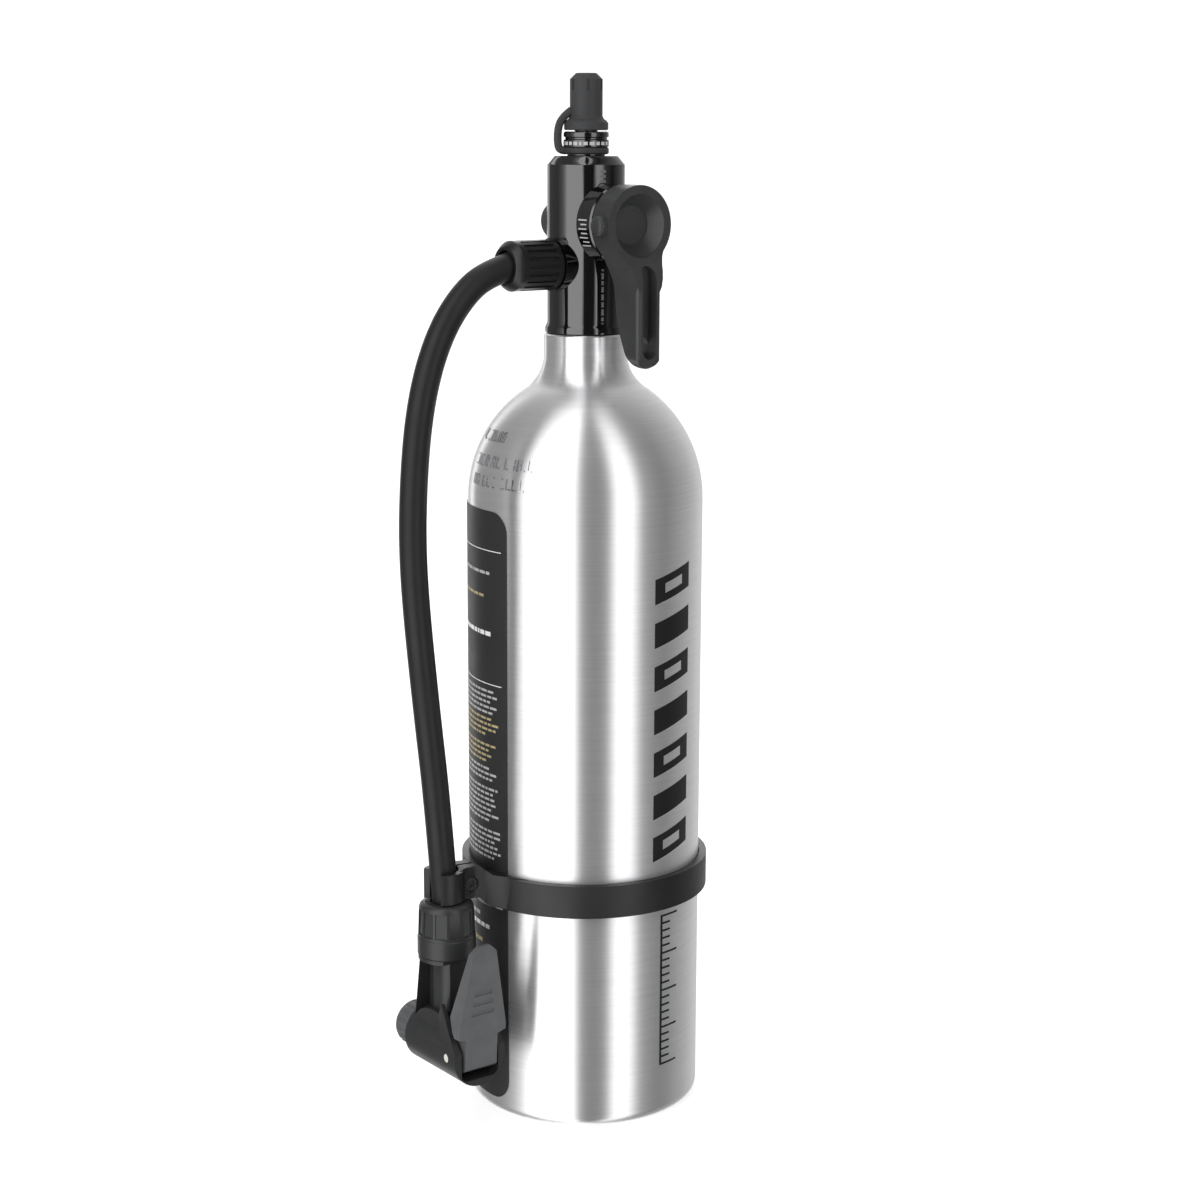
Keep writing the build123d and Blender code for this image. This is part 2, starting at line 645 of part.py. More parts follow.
def strap_clamp():
    """Open band round the bottle whose two ends bolt together and grip the hose."""
    low, high = STRAP_Z
    clip_low, clip_high = CLIP_Z
    band = Pos(0, 0, low) * Cylinder(STRAP_R, high - low, align=MIN_Z)
    clip = Pos(CLIP_X, 0, clip_low) * Cylinder(CLIP_R, clip_high - clip_low, align=MIN_Z)
    neck_side = [
        (-56.5, clip_low),
        (-56.5, clip_high),
        (-53.0, clip_high + 0.6),
        (-47.5, clip_high + 0.2),
        (-44.0, high + 0.6),
        (-36.0, high),
        (-36.0, low),
        (-44.5, low + 0.6),
        (-47.6, clip_low - 0.6),
        (-52.5, clip_low - 0.2),
    ]
    neck_plan = Polyline(
        (-57.0, 5.4),
        (-53.6, 4.5),
        (-49.0, EAR_HALF),
        (-45.6, 5.2),
        (-42.3, 10.0),
        (-36.0, 18.0),
        (-36.0, -18.0),
        (-42.3, -10.0),
        (-45.6, -5.2),
        (-49.0, -EAR_HALF),
        (-53.6, -4.5),
        (-57.0, -5.4),
        close=True,
    )
    neck = Pos(0, 0, 50) * extrude(make_face(neck_plan), 60, dir=(0, 0, 1))
    profile = make_face(Plane.XZ * Polyline(*neck_side, close=True))
    neck &= Pos(0, -30, 0) * extrude(profile, 60, dir=(0, 1, 0))
    body = band + neck + clip
    body -= Pos(0, 0, 80) * Cylinder(STRAP_INNER_R, 40)
    body -= Pos(CLIP_X, 0, 85) * Cylinder(CLIP_INNER_R, 40)
    body -= Pos(-49, 0, 85) * Box(18, EAR_GAP, 40)
    mouth_half = radians(180 - CLIP_REACH_DEG)
    reach = 12.0
    mouth = make_face(
        Polyline(
            (0, 0),
            (-reach, reach * tan(mouth_half)),
            (-reach, -reach * tan(mouth_half)),
            close=True,
        )
    )
    body -= Pos(CLIP_X, 0, 60) * extrude(mouth, 60, dir=(0, 0, 1))
    body -= across_ears(1.3, -10, 10)
    body -= across_ears(2.5, -10, -EAR_HALF + 1.0)
    body -= across_ears(2.6, EAR_HALF - 1.0, 10)
    return body


def across_ears(radius, y_start, y_end):
    """A rod along the strap screw's axis between two y positions."""
    start = (CLAMP_SCREW_X, y_start, CLAMP_SCREW_Z)
    return rod(radius, start, (CLAMP_SCREW_X, y_end, CLAMP_SCREW_Z))


def clamp_screw():
    """Cross-slotted screw that draws the strap's ends together."""
    face = -EAR_HALF - 0.15
    head = across_ears(2.3, face, -EAR_HALF + 0.98)
    shank = across_ears(1.2, -EAR_HALF + 0.5, EAR_HALF + 0.6)
    cross = Rot(0, 30, 0) * (Box(0.6, 1.1, 3.0) + Box(3.0, 1.1, 0.6))
    return head - Pos(CLAMP_SCREW_X, face, CLAMP_SCREW_Z) * cross + shank


def clamp_nut():
    """Nut for the strap's screw, sunk in the far ear."""
    return across_ears(2.45, EAR_HALF - 0.95, EAR_HALF + 0.5) - across_ears(1.22, 0, 10)


# ---------------------------------------------------------------- pump head


def head_collar_nut():
    """Collar nut with shallow grip panels above a plain band."""
    low, high = COLLAR_Z
    nut = turned(
        [
            (0, low),
            (COLLAR_R - 0.3, low),
            (COLLAR_R, low + 0.3),
            (COLLAR_R, PANEL_Z[0] - 1.3),
            (COLLAR_R - 0.25, PANEL_Z[0] - 1.0),
            (COLLAR_TOP_R, high - 2.0),
            (COLLAR_TOP_R - 0.35, high - 1.0),
            (COLLAR_TOP_R - 1.1, high - 0.3),
            (COLLAR_TOP_R - 2.0, high),
            (0, high),
        ]
    )
    bore = turned(
        [
            (0, low - 1),
            (7.7, low - 1),
            (7.7, low + 9.0),
            (4.8, low + 11.5),
            (4.8, high - 2.0),
            (5.6, high + 0.1),
            (0, high + 0.1),
        ]
    )
    middle = (PANEL_Z[0] + PANEL_Z[1]) / 2
    panel = Box(2.0, 4.0, PANEL_Z[1] - PANEL_Z[0])
    panels = [
        Rot(0, 0, 360 * (turn + 0.5) / COLLAR_PANELS)
        * Pos(COLLAR_TOP_R + 1.0 - PANEL_DEPTH + 0.15, 0, middle)
        * Rot(0, -3, 0)
        * panel
        for turn in range(COLLAR_PANELS)
    ]
    return Pos(HEAD_X, 0, 0) * (nut - bore - panels)


def head_barb():
    """Insert that holds the hose end inside the collar nut."""
    foot = COLLAR_Z[0] + 8.0
    insert = turned(
        [
            (0, foot),
            (7.3, foot),
            (7.3, foot + 0.6),
            (4.6, foot + 3.2),
            (4.6, HOSE_END_Z - 0.4),
            (4.2, HOSE_END_Z),
            (0, HOSE_END_Z),
        ]
    )
    return Pos(HEAD_X, 0, 0) * (insert - Cylinder(1.8, 400))


def barrel_cone(radius_back, radius_fork, y_fork, y_back):
    """A round bar along Y that widens towards the fork."""
    bar = turned([(0, y_fork), (radius_fork, y_fork), (radius_back, y_back), (0, y_back)])
    return along_y(bar, BARREL_Z, HEAD_X)


def head_body():
    """Moulded head: a column under the collar, a barrel across it and a fork for the lever."""
    fork_y, back_y = BARREL_Y
    top = COLLAR_Z[0] - 0.1
    barrel = barrel_cone(BARREL_R_BACK, BARREL_R_FORK, fork_y, back_y)
    barrel -= side_plate(
        [(-11.0, 60), (-11.0, 41.2), (-16.6, 35.4), (fork_y - 1, 30.5), (fork_y - 1, 60)],
        HEAD_X - 12,
        HEAD_X + 12,
    )
    column_back, column_front = COLUMN_Y[1], COLUMN_Y[0]
    column_plan = Pos(0, (column_front + column_back) / 2) * SlotOverall(
        column_back - column_front + 2 * COLUMN_R, 2 * COLUMN_R, rotation=90
    )
    column = Pos(HEAD_X, 0, BARREL_Z) * extrude(column_plan, top - BARREL_Z, dir=(0, 0, 1))
    flange = Pos(HEAD_X, 0, top - 1.4) * Cylinder(COLLAR_R - 0.25, 1.4, align=MIN_Z)
    spigot = Pos(HEAD_X, 0, top - 1) * Cylinder(7.6, COLLAR_Z[0] + 7.8 - top + 1, align=MIN_Z)
    envelope = Pos(HEAD_X, 0, BARREL_Z) * Cone(
        HEAD_SPREAD_R, COLLAR_R - 0.25, top - BARREL_Z, align=MIN_Z
    )
    rim = side_plate(
        [
            (7.9, top),
            (back_y, top),
            (back_y, BARREL_Z),
            (9.4, BARREL_Z),
            (9.0, 38.0),
        ],
        HEAD_X - BARREL_R_BACK,
        HEAD_X + BARREL_R_BACK,
    )
    web = side_plate(
        [(0, top), (9.0, top), (9.6, BARREL_Z), (0, BARREL_Z)], HEAD_X - 1.4, HEAD_X + 1.4
    )
    saddle = side_plate(
        [
            (-9.0, BARREL_Z),
            (-9.0, 42.6),
            (-2.0, 43.2),
            (2.0, 42.6),
            (5.6, 41.0),
            (8.2, 38.6),
            (9.6, 36.0),
            (9.6, BARREL_Z),
        ],
        HEAD_X - 7.4,
        HEAD_X + 7.4,
    )
    cheek_outline = [
        (2.0, BARREL_Z),
        (2.0, 39.0),
        (-6.0, 41.0),
        (-9.6, 47.6),
        (-16.6, 36.4),
        (fork_y, 32.6),
        (fork_y, BARREL_Z),
    ]
    cheek_plan = make_face(
        Polyline(
            (-5.1, 2.0),
            (-8.6, -8.0),
            (-9.9, fork_y),
            (9.9, fork_y),
            (8.6, -8.0),
            (5.1, 2.0),
            close=True,
        )
    )
    cheeks = Pos(HEAD_X, 0, 0) * extrude(cheek_plan, 80, dir=(0, 0, 1))
    cheeks &= side_plate(cheek_outline, HEAD_X - 12, HEAD_X + 12)
    body = barrel + column + flange + spigot + ((rim + web + saddle) & envelope) + cheeks
    room_low, room_high = LEVER_ROOM_Z
    room = Pos(HEAD_X, (room_low + room_high) / 2) * RectangleRounded(
        2 * CHEEK_INNER, room_high - room_low, 2.5
    )
    room = Plane.XZ.offset(-LEVER_ROOM_BACK) * room
    lever_room = extrude(room, LEVER_ROOM_BACK - fork_y + 1)
    bore = rod(HEAD_BORE_R, (HEAD_X, fork_y, BARREL_Z), (HEAD_X, back_y + 5, BARREL_Z))
    gasket_seat = rod(GASKET_R + 0.05, (HEAD_X, 5.4, BARREL_Z), (HEAD_X, back_y + 5, BARREL_Z))
    passage = rod(1.8, (HEAD_X, 0, BARREL_Z), (HEAD_X, 0, COLLAR_Z[0] + 10))
    pin_hole = rod(PIN_R + 0.02, (HEAD_X - 15, PIN_Y, BARREL_Z), (HEAD_X + 15, PIN_Y, BARREL_Z))
    thread = rod(6.9, (HEAD_X, back_y - 1, BARREL_Z), (HEAD_X, back_y + 3.6, BARREL_Z))
    return body + thread - lever_room - bore - gasket_seat - passage - pin_hole


def head_plunger():
    """Plunger that the lever's cam pushes against the gasket."""
    near = PIN_Y + CAM_R + 0.6
    plunger = rod(HEAD_BORE_R - 0.06, (HEAD_X, near, BARREL_Z), (HEAD_X, 2.9, BARREL_Z))
    groove = ring_groove(HEAD_BORE_R - 0.06, PLUNGER_SEAL_Y, HEAD_X, BARREL_Z)
    waist = rod(HEAD_BORE_R + 1, (HEAD_X, -2.5, BARREL_Z), (HEAD_X, 1.0, BARREL_Z)) - rod(
        2.6, (HEAD_X, -3, BARREL_Z), (HEAD_X, 2, BARREL_Z)
    )
    return plunger - groove - waist


def plunger_o_ring():
    """Seal in the plunger's groove."""
    return grooved_ring(HEAD_BORE_R - 0.06, PLUNGER_SEAL_Y, HEAD_X, BARREL_Z)


def valve_gasket():
    """Rubber bush that grips the tyre valve."""
    bush = rod(GASKET_R, (HEAD_X, 5.6, BARREL_Z), (HEAD_X, BARREL_Y[1] + 3.5, BARREL_Z))
    return bush - rod(GASKET_BORE_R, (HEAD_X, 5, BARREL_Z), (HEAD_X, 20, BARREL_Z))


def gasket_cap():
    """Serrated cap that keeps the gasket in the head, with the valve opening in its end."""
    near, far = GASKET_CAP_Y
    cap = turned(
        [
            (0, near),
            (GASKET_CAP_R, near),
            (GASKET_CAP_R, far - 2.4),
            (GASKET_CAP_R - 0.5, far - 1.2),
            (GASKET_CAP_R - 1.5, far - 0.3),
            (GASKET_CAP_R - 2.6, far),
            (0, far),
        ]
    )
    bore = turned(
        [
            (0, near - 1),
            (6.95, near - 1),
            (6.95, near + 3.9),
            (GASKET_BORE_R + 0.3, near + 3.9),
            (GASKET_BORE_R + 0.3, far - 0.8),
            (GASKET_BORE_R + 1.2, far + 0.1),
            (0, far + 0.1),
        ]
    )
    count = 18
    flutes = [
        Rot(0, 0, 360 * turn / count)
        * Pos(GASKET_CAP_R + 0.55, 0, near + 1.2)
        * Cylinder(1.0, far - near, align=MIN_Z)
        for turn in range(count)
    ]
    return along_y(cap - bore - flutes, BARREL_Z, HEAD_X)


def lever_face_y(z):
    """Height to depth of the lever's flat front, which leans towards the bottle."""
    lean = (LEVER_FACE_LOW - LEVER_FACE_TOP) / (LEVER_TIP_Z - LEVER_LOW_Z)
    return LEVER_FACE_LOW - lean * (z - LEVER_LOW_Z)


def thumb_lever():
    """Thumb lever with a shield-shaped paddle, three grip bars and a cam at its pivot."""
    half_outline = [(6.4, 37.6), (9.5, LEVER_LOW_Z), (9.6, 40.6), (4.8, 67.8), (2.2, LEVER_TIP_Z)]
    mirrored = [(-x, z) for x, z in reversed(half_outline)]
    paddle = extrude(Plane.XZ * make_face(Polyline(*half_outline, *mirrored, close=True)), 40)
    profile = [
        (lever_face_y(LEVER_TIP_Z + 1), LEVER_TIP_Z + 1),
        (lever_face_y(36), 36),
        (lever_face_y(36) + 2.2, 36),
        (lever_face_y(38) + 2.4, 38),
        (lever_face_y(45) + LEVER_THICK, 45),
        (lever_face_y(68) + 2.2, 68),
        (lever_face_y(LEVER_TIP_Z + 1) + 1.6, LEVER_TIP_Z + 1),
    ]
    blade = Pos(HEAD_X, 0, 0) * paddle & side_plate(profile, HEAD_X - 12, HEAD_X + 12)
    bars = [
        Pos(HEAD_X, lever_face_y(z), z) * Box(width, 0.7, 1.3)
        for width, z in ((9.0, 46.5), (8.0, 50.0), (7.0, 53.5))
    ]
    tongue = side_plate(
        [
            (lever_face_y(27.0), 27.0),
            (lever_face_y(39.6), 39.6),
            (lever_face_y(39.6) + 4.0, 39.6),
            (-12.0, 33.6),
            (-10.4, 30.3),
            (-14.0, 25.6),
            (-17.6, 25.4),
            (-19.2, 26.0),
        ],
        HEAD_X - 6.3,
        HEAD_X + 6.3,
    )
    cam_z = BARREL_Z - CAM_THROW
    cam = rod(CAM_R, (HEAD_X - CAM_HALF, PIN_Y, cam_z), (HEAD_X + CAM_HALF, PIN_Y, cam_z))
    pivot = rod(PIN_R + 0.06, (HEAD_X - 12, PIN_Y, BARREL_Z), (HEAD_X + 12, PIN_Y, BARREL_Z))
    return blade - bars + tongue + cam - pivot


def lever_pin():
    """Pin through the fork and the lever."""
    half = BARREL_R_FORK - 0.25
    return rod(PIN_R, (HEAD_X - half, PIN_Y, BARREL_Z), (HEAD_X + half, PIN_Y, BARREL_Z))


NODES = [
    tank_shell,
    label_panel,
    neck_o_ring,
    valve_body,
    valve_spindle,
    spindle_o_rings,
    spindle_washer,
    spindle_end_cap,
    end_cap_screw,
    lever_knob,
    knob_cover,
    knob_screw,
    inlet_adaptor,
    adaptor_o_ring,
    inlet_stem,
    core_pin,
    core_spring,
    inlet_cap,
    cap_tether,
    port_nut,
    hose_port_barb,
    port_o_ring,
    hose,
    strap_clamp,
    clamp_screw,
    clamp_nut,
    head_collar_nut,
    head_barb,
    head_body,
    head_plunger,
    plunger_o_ring,
    valve_gasket,
    gasket_cap,
    thumb_lever,
    lever_pin,
]

os.makedirs("parts", exist_ok=True)
print("bottle capacity, litres:", round(tank_cavity().volume / 1e6, 3))
for build in NODES:
    export_step(build(), f"parts/{build.__name__}.step")
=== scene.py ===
"""Looks for the air reservoir bottle: materials, rounded mouldings, prints, tether, hose and studio.

Metres, +Z up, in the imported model's own frame: the origin is the centre of the bottle's base.
Angles are in degrees about Z from +X, unless a comment says otherwise.
"""
import json
import math
import random

import bmesh
import bpy
from mathutils import Matrix, Vector


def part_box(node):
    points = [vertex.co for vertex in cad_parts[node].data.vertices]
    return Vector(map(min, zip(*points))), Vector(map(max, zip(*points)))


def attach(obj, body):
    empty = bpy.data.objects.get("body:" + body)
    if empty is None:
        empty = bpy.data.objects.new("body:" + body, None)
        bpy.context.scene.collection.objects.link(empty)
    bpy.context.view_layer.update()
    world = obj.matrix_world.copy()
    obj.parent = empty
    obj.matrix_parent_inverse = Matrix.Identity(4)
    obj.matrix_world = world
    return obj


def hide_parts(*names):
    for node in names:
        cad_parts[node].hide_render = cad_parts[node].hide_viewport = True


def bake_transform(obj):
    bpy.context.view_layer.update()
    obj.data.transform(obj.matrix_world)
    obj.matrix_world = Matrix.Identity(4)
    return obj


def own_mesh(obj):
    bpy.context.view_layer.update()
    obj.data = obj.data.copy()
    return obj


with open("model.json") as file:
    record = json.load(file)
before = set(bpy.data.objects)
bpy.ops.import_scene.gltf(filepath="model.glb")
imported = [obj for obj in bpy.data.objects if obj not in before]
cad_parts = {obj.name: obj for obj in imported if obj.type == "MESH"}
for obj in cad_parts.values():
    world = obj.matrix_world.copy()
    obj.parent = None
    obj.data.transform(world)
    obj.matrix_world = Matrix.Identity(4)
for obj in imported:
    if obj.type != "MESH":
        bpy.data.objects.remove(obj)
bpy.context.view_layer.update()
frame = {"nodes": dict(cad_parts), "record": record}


# ---------------------------------------------------------------- sizes

TANK_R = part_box("tank_shell")[1].x
TANK_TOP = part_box("tank_shell")[1].z
BARREL_TOP = 0.2120
SHOULDER_R = 0.0461
NECK_R = 0.0141
NECK_FILLET_R = 0.0125
LIP_CHAMFER = 0.0004
MOUTH_R = 0.0096
MOUTH_DEPTH = 0.016
BASE_EDGE_R = 0.0035
BASE_DISH_R = 0.0290
BASE_DISH_DEPTH = 0.0022
BASE_FOOT_R = 0.0335

LABEL_ANGLES = (95.0, 193.0)
LABEL_Z = (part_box("label_panel")[0].z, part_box("label_panel")[1].z)
LABEL_CORNER = 0.007

BLOCK_R = 0.0129
KNOB_Z = 0.3043
FLANGE_R = 0.0128
COLLAR_BAND_R = 0.0075
COLLAR_BAND_Z = (0.3289, 0.3312)

# Where the inner and outer face of each thin film lie, from the surface that it follows
LABEL_LIFTS = (0.00001, 0.00025)
LABEL_PRINT_LIFTS = (0.00022, 0.00028)
GRAPHIC_LIFTS = (-0.00001, 0.00004)
MARK_LIFTS = (-0.00001, 0.00003)
STAMP_LIFTS = (-0.00005, 0.00034)

HOSE_R = 0.0045
HEAD_X = -0.0581
HOSE_ROUTE = [
    (-0.0300, 0.2912),
    (-0.0406, 0.2884),
    (-0.0492, 0.2824),
    (-0.0572, 0.2723),
    (-0.0632, 0.2588),
    (-0.0670, 0.2430),
    (-0.0690, 0.2250),
    (-0.0699, 0.2050),
    (-0.0690, 0.1840),
    (-0.0654, 0.1490),
    (-0.0609, 0.1110),
    (HEAD_X, 0.0740),
]

CAMERA_AZIMUTH = -127.0
CAMERA_PLACE = Vector((-0.47108, -0.62514, 0.33802))
CAMERA_FORWARD = Vector((0.59452, 0.77814, -0.20259))
CAMERA_RIGHT = Vector((0.79512, -0.60643, 0.00407))
CAMERA_LENS_MM = 69.8


# ---------------------------------------------------------------- materials

# Noise values under the first count as the pattern's least, and over the second as its most
NOISE_LOW, NOISE_HIGH = 0.3, 0.7


class Material:
    """A node material with a Principled shader, built up by its methods."""

    def __init__(self, name, colour, roughness, **sockets):
        self.data = bpy.data.materials.new(name)
        self.data.use_nodes = True
        self.nodes = self.data.node_tree.nodes
        self.links = self.data.node_tree.links
        self.shader = self.nodes["Principled BSDF"]
        self.colour = colour
        self.roughness = roughness
        self.shader.inputs["Base Color"].default_value = (*colour, 1)
        self.shader.inputs["Roughness"].default_value = roughness
        for socket, value in sockets.items():
            self.shader.inputs[socket.replace("_", " ")].default_value = value
        self.coordinates = self.nodes.new("ShaderNodeTexCoord").outputs["Object"]
        self.height = None

    def noise(self, scale, detail, stretch=(1, 1, 1)):
        """A noise pattern, in features per metre, squeezed along each axis by the stretch's factor."""
        mapping = self.nodes.new("ShaderNodeMapping")
        mapping.inputs["Scale"].default_value = stretch
        self.links.new(self.coordinates, mapping.inputs["Vector"])
        node = self.nodes.new("ShaderNodeTexNoise")
        node.inputs["Scale"].default_value = scale
        node.inputs["Detail"].default_value = detail
        self.links.new(mapping.outputs["Vector"], node.inputs["Vector"])
        return node.outputs["Fac"]

    def vary_colour(self, fac, amount):
        """Base colour that runs from darker to lighter by the given share."""
        ramp = self.nodes.new("ShaderNodeValToRGB")
        ramp.color_ramp.elements[0].position = NOISE_LOW
        ramp.color_ramp.elements[1].position = NOISE_HIGH
        for element, sign in zip(ramp.color_ramp.elements, (-1, 1)):
            element.color = (*(c * (1 + sign * amount) for c in self.colour), 1)
        self.links.new(fac, ramp.inputs["Fac"])
        self.links.new(ramp.outputs["Color"], self.shader.inputs["Base Color"])

    def vary_roughness(self, fac, amount):
        """Roughness that runs below and above its mean by the given amount."""
        node = self.nodes.new("ShaderNodeMapRange")
        node.inputs["From Min"].default_value = NOISE_LOW
        node.inputs["From Max"].default_value = NOISE_HIGH
        node.inputs["To Min"].default_value = self.roughness - amount
        node.inputs["To Max"].default_value = self.roughness + amount
        self.links.new(fac, node.inputs["Value"])
        self.links.new(node.outputs["Result"], self.shader.inputs["Roughness"])

    def bump(self, fac, depth):
        """Surface relief of the given depth in metres, added to any that is there."""
        node = self.nodes.new("ShaderNodeBump")
        node.inputs["Strength"].default_value = 1.0
        node.inputs["Distance"].default_value = depth
        self.links.new(fac, node.inputs["Height"])
        if self.height is not None:
            self.links.new(self.height, node.inputs["Normal"])
        self.height = node.outputs["Normal"]
        self.links.new(self.height, self.shader.inputs["Normal"])


def brushed_aluminium():
    """Satin aluminium, brushed round the bottle's axis, so highlights run up and down."""
    made = Material(
        "brushed_aluminium",
        (0.82, 0.82, 0.83),
        0.31,
        Metallic=0.84,
        Anisotropic=0.8,
        Anisotropic_Rotation=0.25,
    )
    tangent = made.nodes.new("ShaderNodeTangent")
    tangent.direction_type = "RADIAL"
    tangent.axis = "Z"
    made.links.new(tangent.outputs["Tangent"], made.shader.inputs["Tangent"])
    lines = made.noise(36, 3.0, (1, 1, 70))
    fine = made.noise(120, 2.0, (1, 1, 45))
    made.vary_colour(lines, 0.045)
    made.vary_roughness(fine, 0.025)
    made.bump(lines, 0.0000006)
    made.bump(fine, 0.0000002)
    return made.data


def moulded_plastic(name, colour, roughness):
    """Moulded plastic: fine spark-eroded grain, slight mottling and rubbed patches."""
    made = Material(name, colour, roughness, Specular_IOR_Level=0.45)
    made.vary_colour(made.noise(140, 4.0), 0.10)
    made.vary_roughness(made.noise(60, 5.0), 0.05)
    made.bump(made.noise(2200, 2.0), 0.000016)
    return made.data


def gloss_anodised(name, colour):
    """Deep gloss black anodising with faint unevenness."""
    made = Material(name, colour, 0.06, IOR=2.0)
    made.vary_colour(made.noise(200, 3.0), 0.15)
    made.vary_roughness(made.noise(90, 4.0), 0.02)
    made.bump(made.noise(260, 2.0), 0.000003)
    return made.data


def turned_metal(name, colour, roughness, metallic=1.0):
    """Turned metal with a fine, faint unevenness."""
    made = Material(name, colour, roughness, Metallic=metallic)
    made.vary_colour(made.noise(300, 3.0), 0.06)
    made.vary_roughness(made.noise(900, 3.0), 0.06)
    made.bump(made.noise(3000, 2.0), 0.000006)
    return made.data


def rubber(name, colour, roughness=0.55, grain=0.000014):
    """Soft matt rubber with a dusty sheen."""
    made = Material(
        name,
        colour,
        roughness,
        Specular_IOR_Level=0.30,
        Sheen_Weight=0.03,
        Sheen_Roughness=0.5,
    )
    made.vary_colour(made.noise(120, 4.0), 0.10)
    made.vary_roughness(made.noise(80, 4.0), 0.05)
    made.bump(made.noise(1700, 2.0), grain)
    return made.data


def printed_film(name, colour, roughness):
    """Flat print or label film with a slight unevenness."""
    made = Material(name, colour, roughness)
    made.vary_colour(made.noise(70, 3.0), 0.06)
    made.vary_roughness(made.noise(110, 3.0), 0.04)
    made.bump(made.noise(500, 2.0), 0.000004)
    return made.data


MATERIALS = {
    "brushed_aluminium": brushed_aluminium(),
    # The stamps' aluminium is darker than the bottle's: painted shade, standing in for the shadow in the
    # stamped marks
    "stamp_shade_aluminium": turned_metal("stamp_shade_aluminium", (0.74, 0.74, 0.75), 0.24),
    "label_black": printed_film("label_black", (0.020, 0.020, 0.021), 0.40),
    "print_black": printed_film("print_black", (0.006, 0.006, 0.006), 0.40),
    "print_white": printed_film("print_white", (0.75, 0.75, 0.74), 0.50),
    "print_grey": printed_film("print_grey", (0.40, 0.40, 0.395), 0.50),
    "print_faint": printed_film("print_faint", (0.12, 0.12, 0.12), 0.45),
    "print_gold": printed_film("print_gold", (0.40, 0.33, 0.17), 0.45),
    "gloss_black": gloss_anodised("gloss_black", (0.0025, 0.0025, 0.0028)),
    "seal_rubber": rubber("seal_rubber", (0.010, 0.010, 0.010)),
    "gasket_rubber": rubber("gasket_rubber", (0.018, 0.018, 0.019)),
    "grey_rubber": rubber("grey_rubber", (0.032, 0.0325, 0.034)),
    "hose_rubber": rubber("hose_rubber", (0.010, 0.010, 0.0105), 0.45, 0.000006),
    "brass": turned_metal("brass", (0.66, 0.46, 0.18), 0.24),
    "dark_steel": turned_metal("dark_steel", (0.10, 0.10, 0.105), 0.34),
    "spring_steel": turned_metal("spring_steel", (0.55, 0.55, 0.57), 0.25),
    "pin_metal": turned_metal("pin_metal", (0.88, 0.86, 0.80), 0.35, 0.35),
    "black_nylon": moulded_plastic("black_nylon", (0.010, 0.010, 0.0105), 0.45),
    "black_plastic": moulded_plastic("black_plastic", (0.008, 0.008, 0.0085), 0.33),
    "strap_plastic": moulded_plastic("strap_plastic", (0.010, 0.010, 0.0105), 0.42),
    "knob_plastic": moulded_plastic("knob_plastic", (0.030, 0.0305, 0.0315), 0.36),
    "grey_plastic": moulded_plastic("grey_plastic", (0.040, 0.041, 0.043), 0.48),
    "head_plastic": moulded_plastic("head_plastic", (0.024, 0.0245, 0.0255), 0.36),
    "lever_plastic": moulded_plastic("lever_plastic", (0.085, 0.087, 0.090), 0.50),
    "white_plastic": moulded_plastic("white_plastic", (0.70, 0.70, 0.68), 0.45),
}

SLOTS = {part["node"]: part["material_slot"] for part in frame["record"]["subparts"]}


def paint(piece, material):
    """The piece's only material."""
    piece.data.materials.clear()
    piece.data.materials.append(MATERIALS[material])


# ---------------------------------------------------------------- mesh helpers


def new_piece(name, mesh, material, body="root"):
    """A finished object that rides on a body, or on none if the body's name is empty."""
    piece = bpy.data.objects.new(name, mesh)
    bpy.context.scene.collection.objects.link(piece)
    paint(piece, material)
    if body:
        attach(piece, body)
    return piece


def smooth(mesh, angle):
    """Smooth shading with edges sharper than the angle kept."""
    mesh.shade_smooth()
    mesh.set_sharp_from_angle(angle=math.radians(angle))


def turned(point_r, turn, height):
    """The point at a radius and height, turned about Z by an angle in radians."""
    return (point_r * math.cos(turn), point_r * math.sin(turn), height)


def lathe(name, outline, segments):
    """A mesh turned about Z from an outline of (radius, height) points, poles closed."""
    mesh = bpy.data.meshes.new(name)
    bm = bmesh.new()
    turns = [2 * math.pi * i / segments for i in range(segments)]
    rings = []
    for radius, height in outline:
        if radius == 0:
            rings.append([bm.verts.new((0, 0, height))])
        else:
            rings.append([bm.verts.new(turned(radius, turn, height)) for turn in turns])
    for low, high in zip(rings, rings[1:]):
        for i in range(segments):
            j = (i + 1) % segments
            corners = [low[i % len(low)], low[j % len(low)], high[j % len(high)], high[i % len(high)]]
            unique = [v for k, v in enumerate(corners) if v not in corners[:k]]
            if len(unique) > 2:
                bm.faces.new(unique)
    bmesh.ops.recalc_face_normals(bm, faces=bm.faces)
    bm.to_mesh(mesh)
    bm.free()
    return mesh


def arc(centre, radius, start, stop, steps):
    """Points of an arc in an outline, angles in degrees from +radius, anticlockwise."""
    return [
        (
            centre[0] + radius * math.cos(math.radians(start + (stop - start) * i / steps)),
            centre[1] + radius * math.sin(math.radians(start + (stop - start) * i / steps)),
        )
        for i in range(steps + 1)
    ]


def nurbs(curve, points):
    """A smooth spline in the curve, clamped at its ends, with the given control points."""
    curve.dimensions = "3D"
    spline = curve.splines.new("NURBS")
    spline.points.add(len(points) - 1)
    for point, place in zip(spline.points, points):
        point.co = (*place, 1)
    spline.order_u = 3
    spline.use_endpoint_u = True
    return spline


# ---------------------------------------------------------------- bottle


